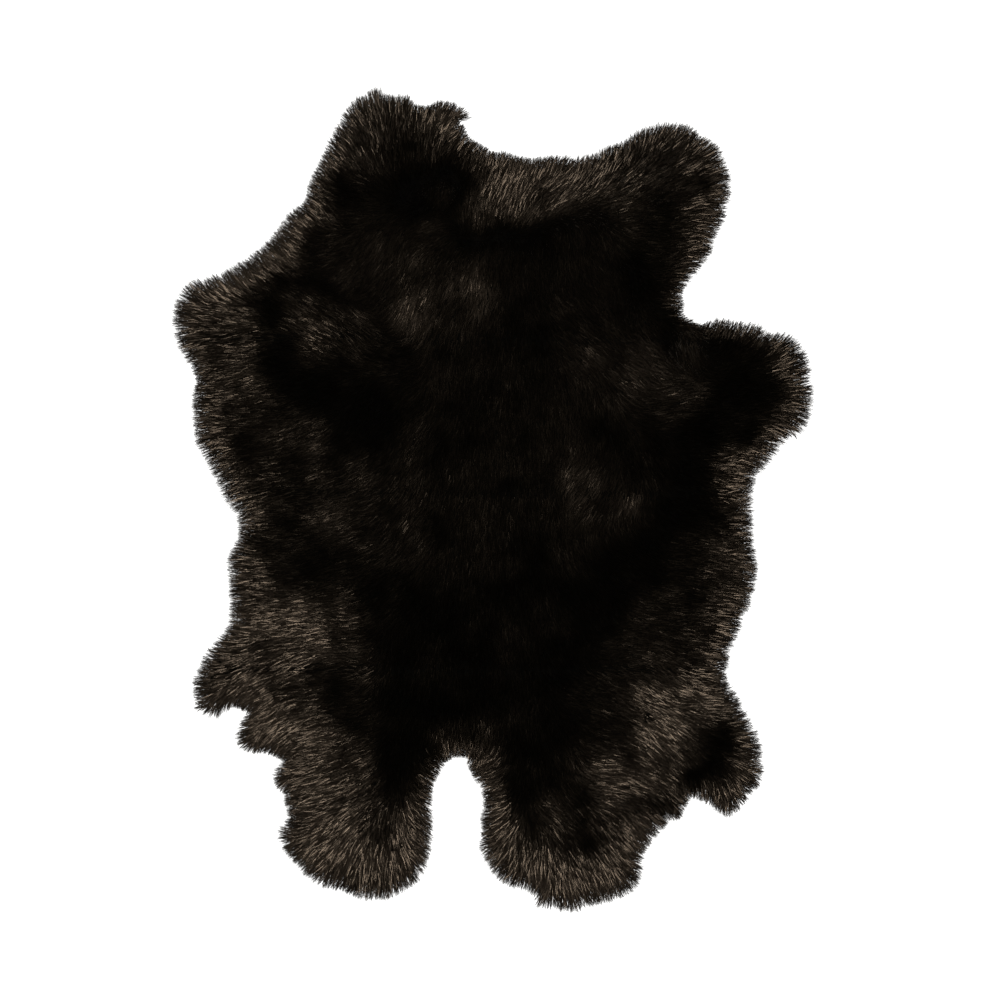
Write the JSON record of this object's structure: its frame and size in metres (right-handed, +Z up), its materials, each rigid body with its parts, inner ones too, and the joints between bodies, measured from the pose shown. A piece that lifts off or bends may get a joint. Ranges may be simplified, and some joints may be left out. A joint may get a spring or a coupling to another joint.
{
  "type": "rabbit skin pelt",
  "caption": "Rabbit skin pelt lying flat with its fur up: thin tanned leather under a deep black-brown pile, with ragged neck, leg and hind flaps.",
  "frame": {"origin": "on the floor, under the middle of the pelt's box", "axes": "+Y from the tail to the neck, +Z up out of the fur, +X to the right as seen from above"},
  "size_m": [0.322, 0.4128, 0.0186],
  "materials": {
    "fur": "soft glossy guard hair over dense underfur",
    "leather": "matt suede flesh side"
  },
  "bodies": {
    "root": {"pelt": "fur"}
  },
  "joints": []
}
